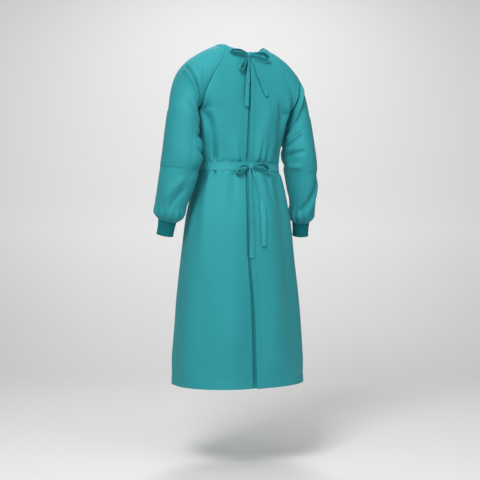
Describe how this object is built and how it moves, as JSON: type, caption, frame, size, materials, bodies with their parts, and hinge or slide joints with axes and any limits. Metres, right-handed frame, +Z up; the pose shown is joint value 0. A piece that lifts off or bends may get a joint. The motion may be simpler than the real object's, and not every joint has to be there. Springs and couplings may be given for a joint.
{
  "type": "surgical gown",
  "caption": "Long-sleeved reusable surgical gown in worn form, open hollow cloth with raglan sleeves, rib-knit cuffs, a back opening, and tied bows at neck and waist.",
  "frame": {"origin": "middle of the neck opening, level with the shoulder line where the wearer's shoulders carry the gown", "axes": "+Z up, -Y towards the gown's front, +X towards the wearer's left"},
  "size_m": [0.6652, 0.3944, 1.2584],
  "materials": {
    "woven_cloth": "smooth teal polyester-cotton weave, slight sheen",
    "rib_knit": "matte darker teal rib knit"
  },
  "bodies": {
    "root": {"front_panel": "woven_cloth", "back_left_panel": "woven_cloth", "back_right_panel": "woven_cloth", "sleeve_left": "woven_cloth", "sleeve_right": "woven_cloth", "elbow_patch_left": "woven_cloth", "elbow_patch_right": "woven_cloth", "cuff_left": "rib_knit", "cuff_right": "rib_knit", "neck_binding": "woven_cloth", "belt": "woven_cloth", "neck_knot": "woven_cloth", "neck_loop_upper_left": "woven_cloth", "neck_loop_lower_left": "woven_cloth", "neck_loop_right": "woven_cloth", "neck_tail_left": "woven_cloth", "neck_tail_right": "woven_cloth", "waist_knot": "woven_cloth", "waist_loop_left": "woven_cloth", "waist_loop_right": "woven_cloth", "waist_tail_left": "woven_cloth", "waist_tail_right": "woven_cloth"}
  },
  "joints": []
}
